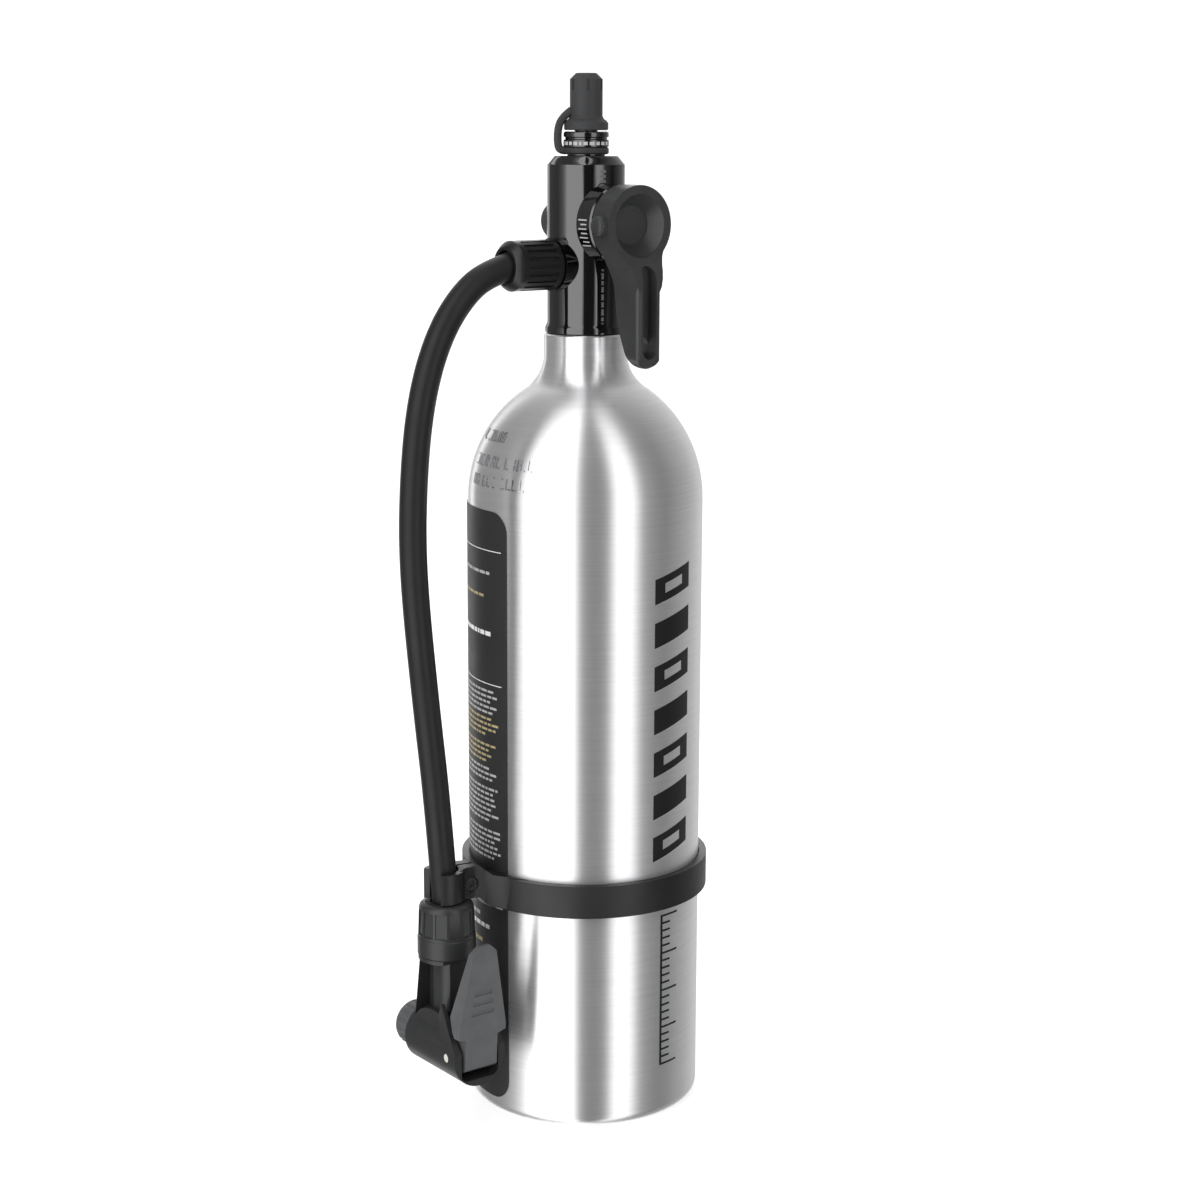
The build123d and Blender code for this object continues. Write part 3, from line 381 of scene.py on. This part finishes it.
def bottle():
    """The drawn bottle as one fine lathe: dished base, barrel, shoulder, neck and mouth."""
    centre_r = TANK_R - SHOULDER_R
    fillet_r = NECK_R + NECK_FILLET_R
    fillet_z = BARREL_TOP + math.sqrt((SHOULDER_R + NECK_FILLET_R) ** 2 - (fillet_r - centre_r) ** 2)
    meet = math.degrees(math.atan2(fillet_z - BARREL_TOP, fillet_r - centre_r))
    foot_flat = 0.0003
    barrel_rings = 12
    outline = [(0, BASE_DISH_DEPTH), (BASE_DISH_R * 0.5, BASE_DISH_DEPTH * 0.8)]
    outline += [(BASE_DISH_R, BASE_DISH_DEPTH * 0.25), (BASE_FOOT_R, 0)]
    outline += [(TANK_R - BASE_EDGE_R - foot_flat, 0)]
    outline += arc((TANK_R - BASE_EDGE_R, BASE_EDGE_R), BASE_EDGE_R, -90, 0, 12)
    outline += [(TANK_R, BARREL_TOP * i / barrel_rings) for i in range(1, barrel_rings)]
    outline += arc((centre_r, BARREL_TOP), SHOULDER_R, 0, meet, 48)
    outline += arc((fillet_r, fillet_z), NECK_FILLET_R, 180 + meet, 180, 20)[1:]
    outline += [(NECK_R, TANK_TOP - LIP_CHAMFER), (NECK_R - LIP_CHAMFER, TANK_TOP)]
    outline += [(MOUTH_R, TANK_TOP), (MOUTH_R, TANK_TOP - MOUTH_DEPTH), (0, TANK_TOP - MOUTH_DEPTH)]
    mesh = lathe("bottle", outline, 256)
    smooth(mesh, 30)
    piece = new_piece("bottle", mesh, "brushed_aluminium")
    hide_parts("tank_shell")


bottle()


# ---------------------------------------------------------------- label, prints and stamps


def on_cylinder(side_r):
    """Gives the function that places points on an upright cylinder about Z."""

    def place(angle, height, lift):
        return Vector(turned(side_r + lift, math.radians(angle), height))

    return place


on_tank = on_cylinder(TANK_R)
on_block = on_cylinder(BLOCK_R)
on_collar_band = on_cylinder(COLLAR_BAND_R)


def on_shoulder(angle, height, lift):
    """A point of the round shoulder's surface."""
    slope = math.asin((height - BARREL_TOP) / SHOULDER_R)
    radius = TANK_R - SHOULDER_R + (SHOULDER_R + lift) * math.cos(slope)
    rise = BARREL_TOP + (SHOULDER_R + lift) * math.sin(slope)
    return Vector(turned(radius, math.radians(angle), rise))


def on_flange(angle, depth, lift):
    """A point of the knob flange's rim, the angle in degrees about Y from +X towards +Z."""
    turn = math.radians(angle)
    radius = FLANGE_R + lift
    return Vector((radius * math.cos(turn), depth, KNOB_Z + radius * math.sin(turn)))


def film(name, polygons, place, lifts, material, step=2.0):
    """Thin closed shapes on a curved surface, from (angle, height) outlines cut every few degrees."""
    mesh = bpy.data.meshes.new(name)
    bm = bmesh.new()
    for polygon in polygons:
        bm.faces.new([bm.verts.new((angle, height, 0)) for angle, height in polygon])
    cut = math.ceil(min(v.co.x for v in bm.verts) / step) * step
    while cut < max(v.co.x for v in bm.verts):
        everything = bm.verts[:] + bm.edges[:] + bm.faces[:]
        bmesh.ops.bisect_plane(bm, geom=everything, plane_co=(cut, 0, 0), plane_no=(1, 0, 0), dist=1e-6)
        cut += step
    grown = bmesh.ops.extrude_face_region(bm, geom=bm.faces[:], use_keep_orig=True)
    raised = {v for v in grown["geom"] if isinstance(v, bmesh.types.BMVert)}
    for vert in bm.verts:
        vert.co = place(vert.co.x, vert.co.y, lifts[1] if vert in raised else lifts[0])
    bmesh.ops.recalc_face_normals(bm, faces=bm.faces)
    bm.to_mesh(mesh)
    bm.free()
    smooth(mesh, 30)
    return new_piece(name, mesh, material)


def bar(start, stop, low, high):
    """A plain bar's outline."""
    return [(start, low), (stop, low), (stop, high), (start, high)]


def label():
    """The wrapped label with round corners."""
    (start, stop), (low, high) = LABEL_ANGLES, LABEL_Z
    across = math.degrees(LABEL_CORNER / TANK_R)
    steps = 8
    outline = []
    for angle, height, first in (
        (stop - across, high - LABEL_CORNER, 0),
        (start + across, high - LABEL_CORNER, 90),
        (start + across, low + LABEL_CORNER, 180),
        (stop - across, low + LABEL_CORNER, 270),
    ):
        for i in range(steps + 1):
            turn = math.radians(first + 90 * i / steps)
            outline.append((angle + across * math.cos(turn), height + LABEL_CORNER * math.sin(turn)))
    piece = film("label", [outline], on_tank, LABEL_LIFTS, "label_black")
    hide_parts("label_panel")


# The label's two columns, from angle to angle, and the heights of its ruled lines
COLUMNS = ((99.0, 142.0), (146.5, 189.5))
RULES = (0.1977, 0.1522, 0.0745)
RULE_HALF = 0.00014

# The label's small print: height of the top row, rows, their pitch, a bar's height, and the ink
PARAGRAPHS = [
    (0.1905, 1, 0.0030, 0.0010, "grey"),
    (0.1825, 1, 0.0030, 0.0009, "gold"),
    (0.1702, 1, 0.0030, 0.0015, "white"),
    (0.1500, 5, 0.00185, 0.0008, "grey"),
    (0.1404, 4, 0.00185, 0.0008, "gold"),
    (0.1312, 4, 0.00185, 0.0008, "gold"),
    (0.1230, 3, 0.00185, 0.0008, "grey"),
    (0.1160, 7, 0.00185, 0.0008, "grey"),
    (0.1012, 6, 0.00185, 0.0008, "grey"),
    (0.0705, 1, 0.0030, 0.0014, "grey"),
    (0.0670, 1, 0.0030, 0.0015, "white"),
    (0.0612, 1, 0.0030, 0.0014, "gold"),
    (0.0540, 1, 0.0030, 0.0012, "grey"),
    (0.0460, 6, 0.00185, 0.0008, "grey"),
    (0.0320, 7, 0.00185, 0.0008, "grey"),
]


def label_print():
    """Ruled lines and rows of plain bars in place of the label's small print."""
    draw = random.Random(11)
    shortest, word_gap = 1.5, 0.9
    inks = {"grey": [], "gold": [], "white": []}
    for top, rows, pitch, tall, ink in PARAGRAPHS:
        for row in range(rows):
            high = top - row * pitch
            last = row == rows - 1
            for start, stop in COLUMNS:
                ragged = draw.uniform(0.5, 9.0)
                cut_short = draw.uniform(0, 14)
                end = stop
                if not last or rows == 1:
                    end -= ragged
                if last:
                    end -= cut_short
                angle = start
                while angle < end - shortest:
                    word = min(draw.uniform(1.6, 5.2), end - angle)
                    inks[ink].append(bar(angle, angle + word, high - tall, high))
                    angle += word + word_gap
    for height in RULES:
        for start, stop in COLUMNS:
            inks["white"].append(bar(start, stop, height - RULE_HALF, height + RULE_HALF))
    for ink, bars in inks.items():
        film("label_print_" + ink, bars, on_tank, LABEL_PRINT_LIFTS, "print_" + ink, 3.0)


def block_graphic():
    """Tall generic graphic: slanted blocks, by turns an open frame and solid."""
    left, right = -91.6, -67.0
    top, bottom, count, gap = 0.1937, 0.0925, 7, 0.0021
    tall = (top - bottom - gap * (count - 1)) / count
    slant = 0.0042
    inset_a, inset_z = 6.2, 0.0026
    shapes = []
    for i in range(count):
        high = top - i * (tall + gap)
        outer = [(left, high - tall), (right, high - tall + slant), (right, high), (left, high - slant)]
        if i % 2:
            shapes.append(outer)
            continue
        inner = [
            (left + inset_a, high - tall + slant * 0.25 + inset_z),
            (right - inset_a, high - tall + slant * 0.75 + inset_z),
            (right - inset_a, high - slant * 0.25 - inset_z),
            (left + inset_a, high - slant * 0.75 - inset_z),
        ]
        for k in range(4):
            shapes.append([outer[k], outer[(k + 1) % 4], inner[(k + 1) % 4], inner[k]])
    film("side_graphic", shapes, on_tank, GRAPHIC_LIFTS, "print_black")


def scale_graphic():
    """Slim generic scale under the strap: a fine line with ticks, every fifth one longer."""
    left, right, top, bottom, count = -86.4, -74.4, 0.0730, 0.0187, 21
    line_width, tick_half = 1.3, 0.00035
    long_tick, short_tick = 12.0, 6.6
    shapes = [bar(left, left + line_width, bottom, top)]
    for i in range(count):
        height = bottom + tick_half + (top - bottom - 2 * tick_half) * i / (count - 1)
        length = long_tick if i % 5 == 0 else short_tick
        stop = min(left + length, right)
        shapes.append(bar(left + line_width, stop, height - tick_half, height + tick_half))
    film("side_scale", shapes, on_tank, GRAPHIC_LIFTS, "print_black")


# Each row of stamps: height of its foot, height of a stroke, and its first and last angle
STAMP_ROWS = [
    (0.2188, 0.0036, 163.0, 207.0),
    (0.2252, 0.0036, 160.0, 206.0),
    (0.2332, 0.0034, 158.0, 184.0),
]


def shoulder_stamps():
    """Three rows of small raised strokes on the shoulder, in place of its stamped marks, in a darker
    aluminium that is painted shade.
    """
    draw = random.Random(5)
    wide, stroke, inset, thin = 2.9, 0.85, 0.8, 0.0005
    close, apart, close_share = 1.1, 3.4, 0.8
    least_room = 2.4
    shapes = []
    for low, tall, start, stop in STAMP_ROWS:
        top = low + tall
        angle = start
        while angle < stop - least_room:
            kind = draw.randrange(4)
            if kind < 3:
                shapes.append(bar(angle, angle + stroke, low, top))
            if kind in (0, 2):
                shapes.append(bar(angle + wide - stroke, angle + wide, low, top))
            if kind in (0, 3):
                shapes.append(bar(angle + inset, angle + wide - inset, top - thin, top))
            if kind in (1, 3):
                shapes.append(bar(angle + inset, angle + wide, low, low + thin))
            angle += wide + (close if draw.random() < close_share else apart)
    film("shoulder_stamps", shapes, on_shoulder, STAMP_LIFTS, "stamp_shade_aluminium")


def collar_marks(draw):
    """A ring of uneven dashes on the inlet collar's plain band."""
    low, high = COLLAR_BAND_Z
    margin, gap = 0.0006, 5
    last_start, last_stop = 352, 356
    dashes = []
    angle = 0.0
    while angle < last_start:
        length = draw.uniform(5, 14)
        dashes.append(bar(angle, min(angle + length, last_stop), low + margin, high - margin))
        angle += length + gap
    film("collar_marks", dashes, on_collar_band, MARK_LIFTS, "print_grey", 6.0)


def flange_ticks():
    """Seven ticks on the knob flange's rim, every other one shorter, their ends given along Y."""
    first, wide, pitch = 172, 2, 6.5
    near, far, shorter = -0.0172, -0.0128, 0.0012
    ticks = [
        bar(first + pitch * i, first + wide + pitch * i, near, far - shorter * (i % 2)) for i in range(7)
    ]
    film("flange_ticks", ticks, on_flange, MARK_LIFTS, "print_grey", 6.0)


def block_marks(draw):
    """A column of small dashes on the block below the knob, and three short lines above its flange."""
    gap = 0.0006
    column = []
    height = 0.2895
    while height > 0.2705:
        tall = draw.uniform(0.0006, 0.0022)
        column.append(bar(-103.5, -99.5, height - tall, height))
        height -= tall + gap
    pitch = 0.0016
    column += [bar(-106, -97, 0.3175 + pitch * i, 0.3184 + pitch * i) for i in range(3)]
    film("block_marks", column, on_block, MARK_LIFTS, "print_faint", 3.0)


label()
label_print()
block_graphic()
scale_graphic()
shoulder_stamps()
valve_draw = random.Random(3)
collar_marks(valve_draw)
flange_ticks()
block_marks(valve_draw)


# ---------------------------------------------------------------- hose


def hose():
    """The hose as a smooth tube on its route."""
    curve = bpy.data.curves.new("air_hose", "CURVE")
    curve.bevel_depth = HOSE_R
    curve.bevel_resolution = 10
    curve.resolution_u = 16
    nurbs(curve, [(x, 0, z) for x, z in HOSE_ROUTE])
    piece = bpy.data.objects.new("air_hose", curve)
    bpy.context.scene.collection.objects.link(piece)
    paint(piece, "hose_rubber")
    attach(piece, "root")
    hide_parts("hose")


hose()


# ---------------------------------------------------------------- mouldings

MERGE_DISTANCE = 0.000002
FLAT_ANGLE = 0.4
SHARP_ANGLE = 28


def rounded(node, name, width, material, body):
    """A copy of a CAD node with its sharp edges rounded, which stands for that node."""
    mesh = frame["nodes"][node].data.copy()
    mesh.name = name
    bm = bmesh.new()
    bm.from_mesh(mesh)
    bmesh.ops.remove_doubles(bm, verts=bm.verts, dist=MERGE_DISTANCE)
    bmesh.ops.dissolve_degenerate(bm, edges=bm.edges, dist=MERGE_DISTANCE)
    bmesh.ops.dissolve_limit(bm, angle_limit=math.radians(FLAT_ANGLE), verts=bm.verts, edges=bm.edges)
    bm.to_mesh(mesh)
    bm.free()
    if "custom_normal" in mesh.attributes:
        mesh.attributes.remove(mesh.attributes["custom_normal"])
    piece = new_piece(name, mesh, material, body)
    bevel = piece.modifiers.new("rounded_edges", "BEVEL")
    bevel.width = width
    bevel.segments = 3
    bevel.limit_method = "ANGLE"
    bevel.angle_limit = math.radians(SHARP_ANGLE)
    bevel.use_clamp_overlap = True
    bevel.harden_normals = True
    mesh.shade_smooth()
    weighted = piece.modifiers.new("even_shading", "WEIGHTED_NORMAL")
    weighted.keep_sharp = True
    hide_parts(node)


# CAD node, the piece that stands for it, its edges' rounding, its material and its body
ROUNDED = [
    ("valve_body", "valve_block", 0.00025, "gloss_black", "root"),
    ("spindle_end_cap", "spindle_cap", 0.00025, "grey_plastic", "knob"),
    ("inlet_adaptor", "inlet_collar", 0.00015, "gloss_black", "root"),
    ("lever_knob", "selector_knob", 0.0005, "knob_plastic", "knob"),
    ("knob_cover", "knob_disc", 0.0002, "knob_plastic", "knob"),
    ("inlet_cap", "dust_cap", 0.00025, "grey_rubber", "cap"),
    ("port_nut", "hose_nut", 0.00018, "black_plastic", "root"),
    ("strap_clamp", "bottle_strap", 0.00045, "strap_plastic", "root"),
    ("clamp_screw", "strap_screw", 0.00012, "dark_steel", "root"),
    ("head_collar_nut", "head_collar", 0.00022, "head_plastic", "root"),
    ("head_body", "pump_head", 0.00045, "head_plastic", "root"),
    ("gasket_cap", "gasket_nut", 0.00018, "lever_plastic", "gasket_cap"),
    ("thumb_lever", "head_lever", 0.0004, "lever_plastic", "lever"),
    ("lever_pin", "hinge_pin", 0.00015, "pin_metal", "root"),
]
for row in ROUNDED:
    rounded(*row)


# ---------------------------------------------------------------- tether and spring

TETHER_AZIMUTH = 143.0
TETHER_RING_Z = (0.3265, 0.32885)
TETHER_RING_R = (0.00633, 0.0075)
TETHER_RING_EDGE = 0.0005
TETHER_HALF_WIDTH = 0.0022
TETHER_HALF_THICK = 0.0013
# Control points of the strap's centreline, (radius, height), from the ring up to the cap
TETHER_ROUTE = [
    (0.0066, 0.3277),
    (0.0086, 0.3277),
    (0.0094, 0.3296),
    (0.0094, 0.3340),
    (0.0086, 0.3371),
    (0.0066, 0.3394),
    (0.0048, 0.3408),
]
# A radius and two heights on the strap, near the ring and near the cap; the points they give are worked
# out but not used
TETHER_BLEND_R = 0.0090
TETHER_BLEND_Z = (0.3290, 0.3390)


def tether_ring():
    """The dust cap's rubber ring round the inlet collar."""
    low, high = TETHER_RING_Z
    inner, outer = TETHER_RING_R
    edge = TETHER_RING_EDGE
    outline = [(inner, low), (outer - edge, low), (outer, low + edge), (outer, high - edge)]
    outline += [(outer - edge, high), (inner, high), (inner, low)]
    mesh = lathe("tether_ring", outline, 96)
    smooth(mesh, 35)
    ring = new_piece("tether_ring", mesh, "grey_rubber")
    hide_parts("cap_tether")


def tether_line():
    """Points along the strap's smooth centreline, in the XZ plane."""
    curve = bpy.data.curves.new("tether_path", "CURVE")
    spline = nurbs(curve, [(radius, 0, height) for radius, height in TETHER_ROUTE])
    spline.resolution_u = 8
    holder = bpy.data.objects.new("tether_path", curve)
    line = [v.co.copy() for v in bpy.data.meshes.new_from_object(holder).vertices]
    bpy.data.objects.remove(holder)
    return line


def squared(value, half):
    """A circle's coordinate pushed out towards a rounded square of the given half size."""
    return math.copysign(abs(value) ** 0.45, value) * half


def tether_strap():
    """The strap from the ring to the cap."""
    line = tether_line()
    sides = 20
    mesh = bpy.data.meshes.new("tether_strap")
    bm = bmesh.new()
    rings = []
    for i, point in enumerate(line):
        along = (line[min(i + 1, len(line) - 1)] - line[max(i - 1, 0)]).normalized()
        outward = Vector((along.z, 0, -along.x))
        section = []
        for k in range(sides):
            turn = 2 * math.pi * k / sides
            wide = squared(math.cos(turn), TETHER_HALF_WIDTH)
            deep = squared(math.sin(turn), TETHER_HALF_THICK)
            section.append(bm.verts.new(point + outward * deep + Vector((0, wide, 0))))
        rings.append(section)
    for low_ring, high_ring in zip(rings, rings[1:]):
        for k in range(sides):
            j = (k + 1) % sides
            bm.faces.new([low_ring[k], low_ring[j], high_ring[j], high_ring[k]])
    bm.faces.new(rings[0])
    bm.faces.new(rings[-1])
    bmesh.ops.recalc_face_normals(bm, faces=bm.faces)
    turn = math.radians(TETHER_AZIMUTH)
    bmesh.ops.rotate(bm, verts=bm.verts, matrix=Matrix.Rotation(turn, 3, "Z"), cent=(0, 0, 0))
    bm.to_mesh(mesh)
    bm.free()
    smooth(mesh, 50)
    strap = new_piece("tether_strap", mesh, "grey_rubber", body="")
    start, end = (turned(TETHER_BLEND_R, turn, height) for height in TETHER_BLEND_Z)
    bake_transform(strap)
    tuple(start)
    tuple(end)
    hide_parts("cap_tether")


def coil_spring():
    """The valve core's coil spring."""
    low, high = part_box("core_spring")[0].z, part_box("core_spring")[1].z
    wire_r, mean_r, turns, per_turn = 0.00022, 0.00155, 8, 20
    count = turns * per_turn
    points = []
    for i in range(count + 1):
        rise = low + wire_r + (high - low - 2 * wire_r) * i / count
        points.append(turned(mean_r, 2 * math.pi * i / per_turn, rise))
    curve = bpy.data.curves.new("core_coil", "CURVE")
    curve.bevel_depth = wire_r
    curve.bevel_resolution = 3
    curve.use_fill_caps = True
    nurbs(curve, points).resolution_u = 2
    holder = bpy.data.objects.new("core_coil", curve)
    mesh = bpy.data.meshes.new_from_object(holder)
    bpy.data.objects.remove(holder)
    mesh.shade_smooth()
    piece = new_piece("core_coil", mesh, "spring_steel")
    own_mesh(piece)
    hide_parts("core_spring")


tether_ring()
tether_strap()
coil_spring()

# Every CAD node takes its slot's finish, except the inlet stem, which is darker
DARKER = {"inlet_stem": "dark_steel"}
for node_name, node in frame["nodes"].items():
    paint(node, DARKER.get(node_name, SLOTS[node_name]))


# ---------------------------------------------------------------- studio

FLOOR_REACH = 6.0
FLOOR_GREY = 0.78
FLOOR_GLOW = 0.45
BACKDROP_GREY = 1.1
SURROUND_SHARE = 0.45
AIM_HEIGHT = 0.17

# The studio's brightness in reflections: degrees on from the camera's azimuth, and grey
SURROUND = [
    (-152, 0.40),
    (-149, 1.30),
    (-141, 1.30),
    (-138, 0.20),
    (-92, 0.20),
    (-76, 0.45),
    (-66, 0.95),
    (-57, 2.00),
    (-12, 2.00),
    (-5, 0.05),
    (23, 0.04),
    (31, 1.60),
    (47, 1.60),
    (58, 0.22),
    (84, 0.05),
    (124, 0.35),
    (150, 0.60),
    (168, 0.60),
    (174, 2.00),
    (192, 2.00),
    (198, 0.45),
]


def studio_floor():
    """The pale floor, which glows a little and doesn't show in reflections."""
    mesh = bpy.data.meshes.new("studio_floor")
    signs = ((-1, -1), (1, -1), (1, 1), (-1, 1))
    corners = [(x * FLOOR_REACH, y * FLOOR_REACH, 0) for x, y in signs]
    mesh.from_pydata(corners, [], [(0, 1, 2, 3)])
    floor = bpy.data.objects.new("studio_floor", mesh)
    bpy.context.scene.collection.objects.link(floor)
    made = Material(
        "floor_white",
        (FLOOR_GREY, FLOOR_GREY, FLOOR_GREY),
        0.9,
        Emission_Color=(1, 1, 1, 1),
        Emission_Strength=FLOOR_GLOW,
    )
    made.vary_colour(made.noise(3, 2.0), 0.005)
    mesh.materials.append(made.data)
    floor.visible_glossy = False


def colour_mix(tree, factor, first, second):
    """A mix of two colours. Each argument is a value or another node's output."""
    mix = tree.nodes.new("ShaderNodeMix")
    mix.data_type = "RGBA"
    # In a Mix node set to RGBA, input 6 is colour A, input 7 is colour B and output 2 is the result
    for socket, value in ((mix.inputs["Factor"], factor), (mix.inputs[6], first), (mix.inputs[7], second)):
        if isinstance(value, bpy.types.NodeSocket):
            tree.links.new(value, socket)
        else:
            socket.default_value = value
    return mix.outputs[2]


def studio_world():
    """A surround that shows in bands in reflections, lights softly and is white to the camera."""
    world = bpy.data.worlds.new("studio")
    bpy.context.scene.world = world
    world.use_nodes = True
    tree = world.node_tree
    nodes, links = tree.nodes, tree.links
    coordinates = nodes.new("ShaderNodeTexCoord")
    split = nodes.new("ShaderNodeSeparateXYZ")
    links.new(coordinates.outputs["Generated"], split.inputs["Vector"])
    turn = nodes.new("ShaderNodeMath")
    turn.operation = "ARCTAN2"
    links.new(split.outputs["Y"], turn.inputs[0])
    links.new(split.outputs["X"], turn.inputs[1])
    share = nodes.new("ShaderNodeMapRange")
    share.inputs["From Min"].default_value = -math.pi
    share.inputs["From Max"].default_value = math.pi
    links.new(turn.outputs["Value"], share.inputs["Value"])
    ramp = nodes.new("ShaderNodeValToRGB")
    links.new(share.outputs["Result"], ramp.inputs["Fac"])
    elements = ramp.color_ramp.elements
    while len(elements) > 1:
        elements.remove(elements[-1])
    stops = [((CAMERA_AZIMUTH + offset + 180) % 360 - 180, grey) for offset, grey in SURROUND]
    for index, (azimuth, grey) in enumerate(sorted(stops)):
        position = (azimuth + 180) / 360
        element = elements[0] if index == 0 else elements.new(position)
        element.position = position
        element.color = (grey, grey, grey, 1)
    bands = ramp.outputs["Color"]
    path = nodes.new("ShaderNodeLightPath")
    white = (1, 1, 1, 1)
    backdrop = (BACKDROP_GREY, BACKDROP_GREY, BACKDROP_GREY, 1)
    soft = colour_mix(tree, SURROUND_SHARE, white, bands)
    shine = colour_mix(tree, path.outputs["Is Glossy Ray"], soft, bands)
    seen = colour_mix(tree, path.outputs["Is Camera Ray"], shine, backdrop)
    background = nodes["Background"]
    links.new(seen, background.inputs["Color"])
    background.inputs["Strength"].default_value = 1.0


def softbox(name, azimuth, distance, height, size, power):
    """A large area light that faces the bottle."""
    light = bpy.data.lights.new(name, "AREA")
    light.shape = "RECTANGLE"
    light.size, light.size_y = size
    light.energy = power
    lamp = bpy.data.objects.new(name, light)
    bpy.context.scene.collection.objects.link(lamp)
    lamp.location = turned(distance, math.radians(azimuth), height)
    aim = Vector((0, 0, AIM_HEIGHT)) - lamp.location
    lamp.rotation_euler = aim.to_track_quat("-Z", "Y").to_euler()
    lamp.visible_glossy = False


def camera():
    """The main camera: on the knob's side, towards the hose, and looking a little down."""
    data = bpy.data.cameras.new("camera")
    data.lens = CAMERA_LENS_MM
    data.sensor_width = 36
    data.clip_start = 0.01
    data.clip_end = 50
    piece = bpy.data.objects.new("camera", data)
    bpy.context.scene.collection.objects.link(piece)
    up = CAMERA_RIGHT.cross(CAMERA_FORWARD)
    turn = Matrix((CAMERA_RIGHT, up, -CAMERA_FORWARD)).transposed().to_4x4()
    piece.matrix_world = Matrix.Translation(CAMERA_PLACE) @ turn
    bpy.context.scene.camera = piece


studio_floor()
studio_world()
softbox("key_left", CAMERA_AZIMUTH - 40, 1.3, 0.9, (0.8, 1.2), 5)
softbox("fill_right", CAMERA_AZIMUTH + 45, 1.3, 0.8, (0.5, 1.2), 2)
softbox("top", CAMERA_AZIMUTH + 180, 0.5, 1.6, (1.2, 1.2), 5)
camera()
bpy.context.scene.view_settings.view_transform = "Standard"
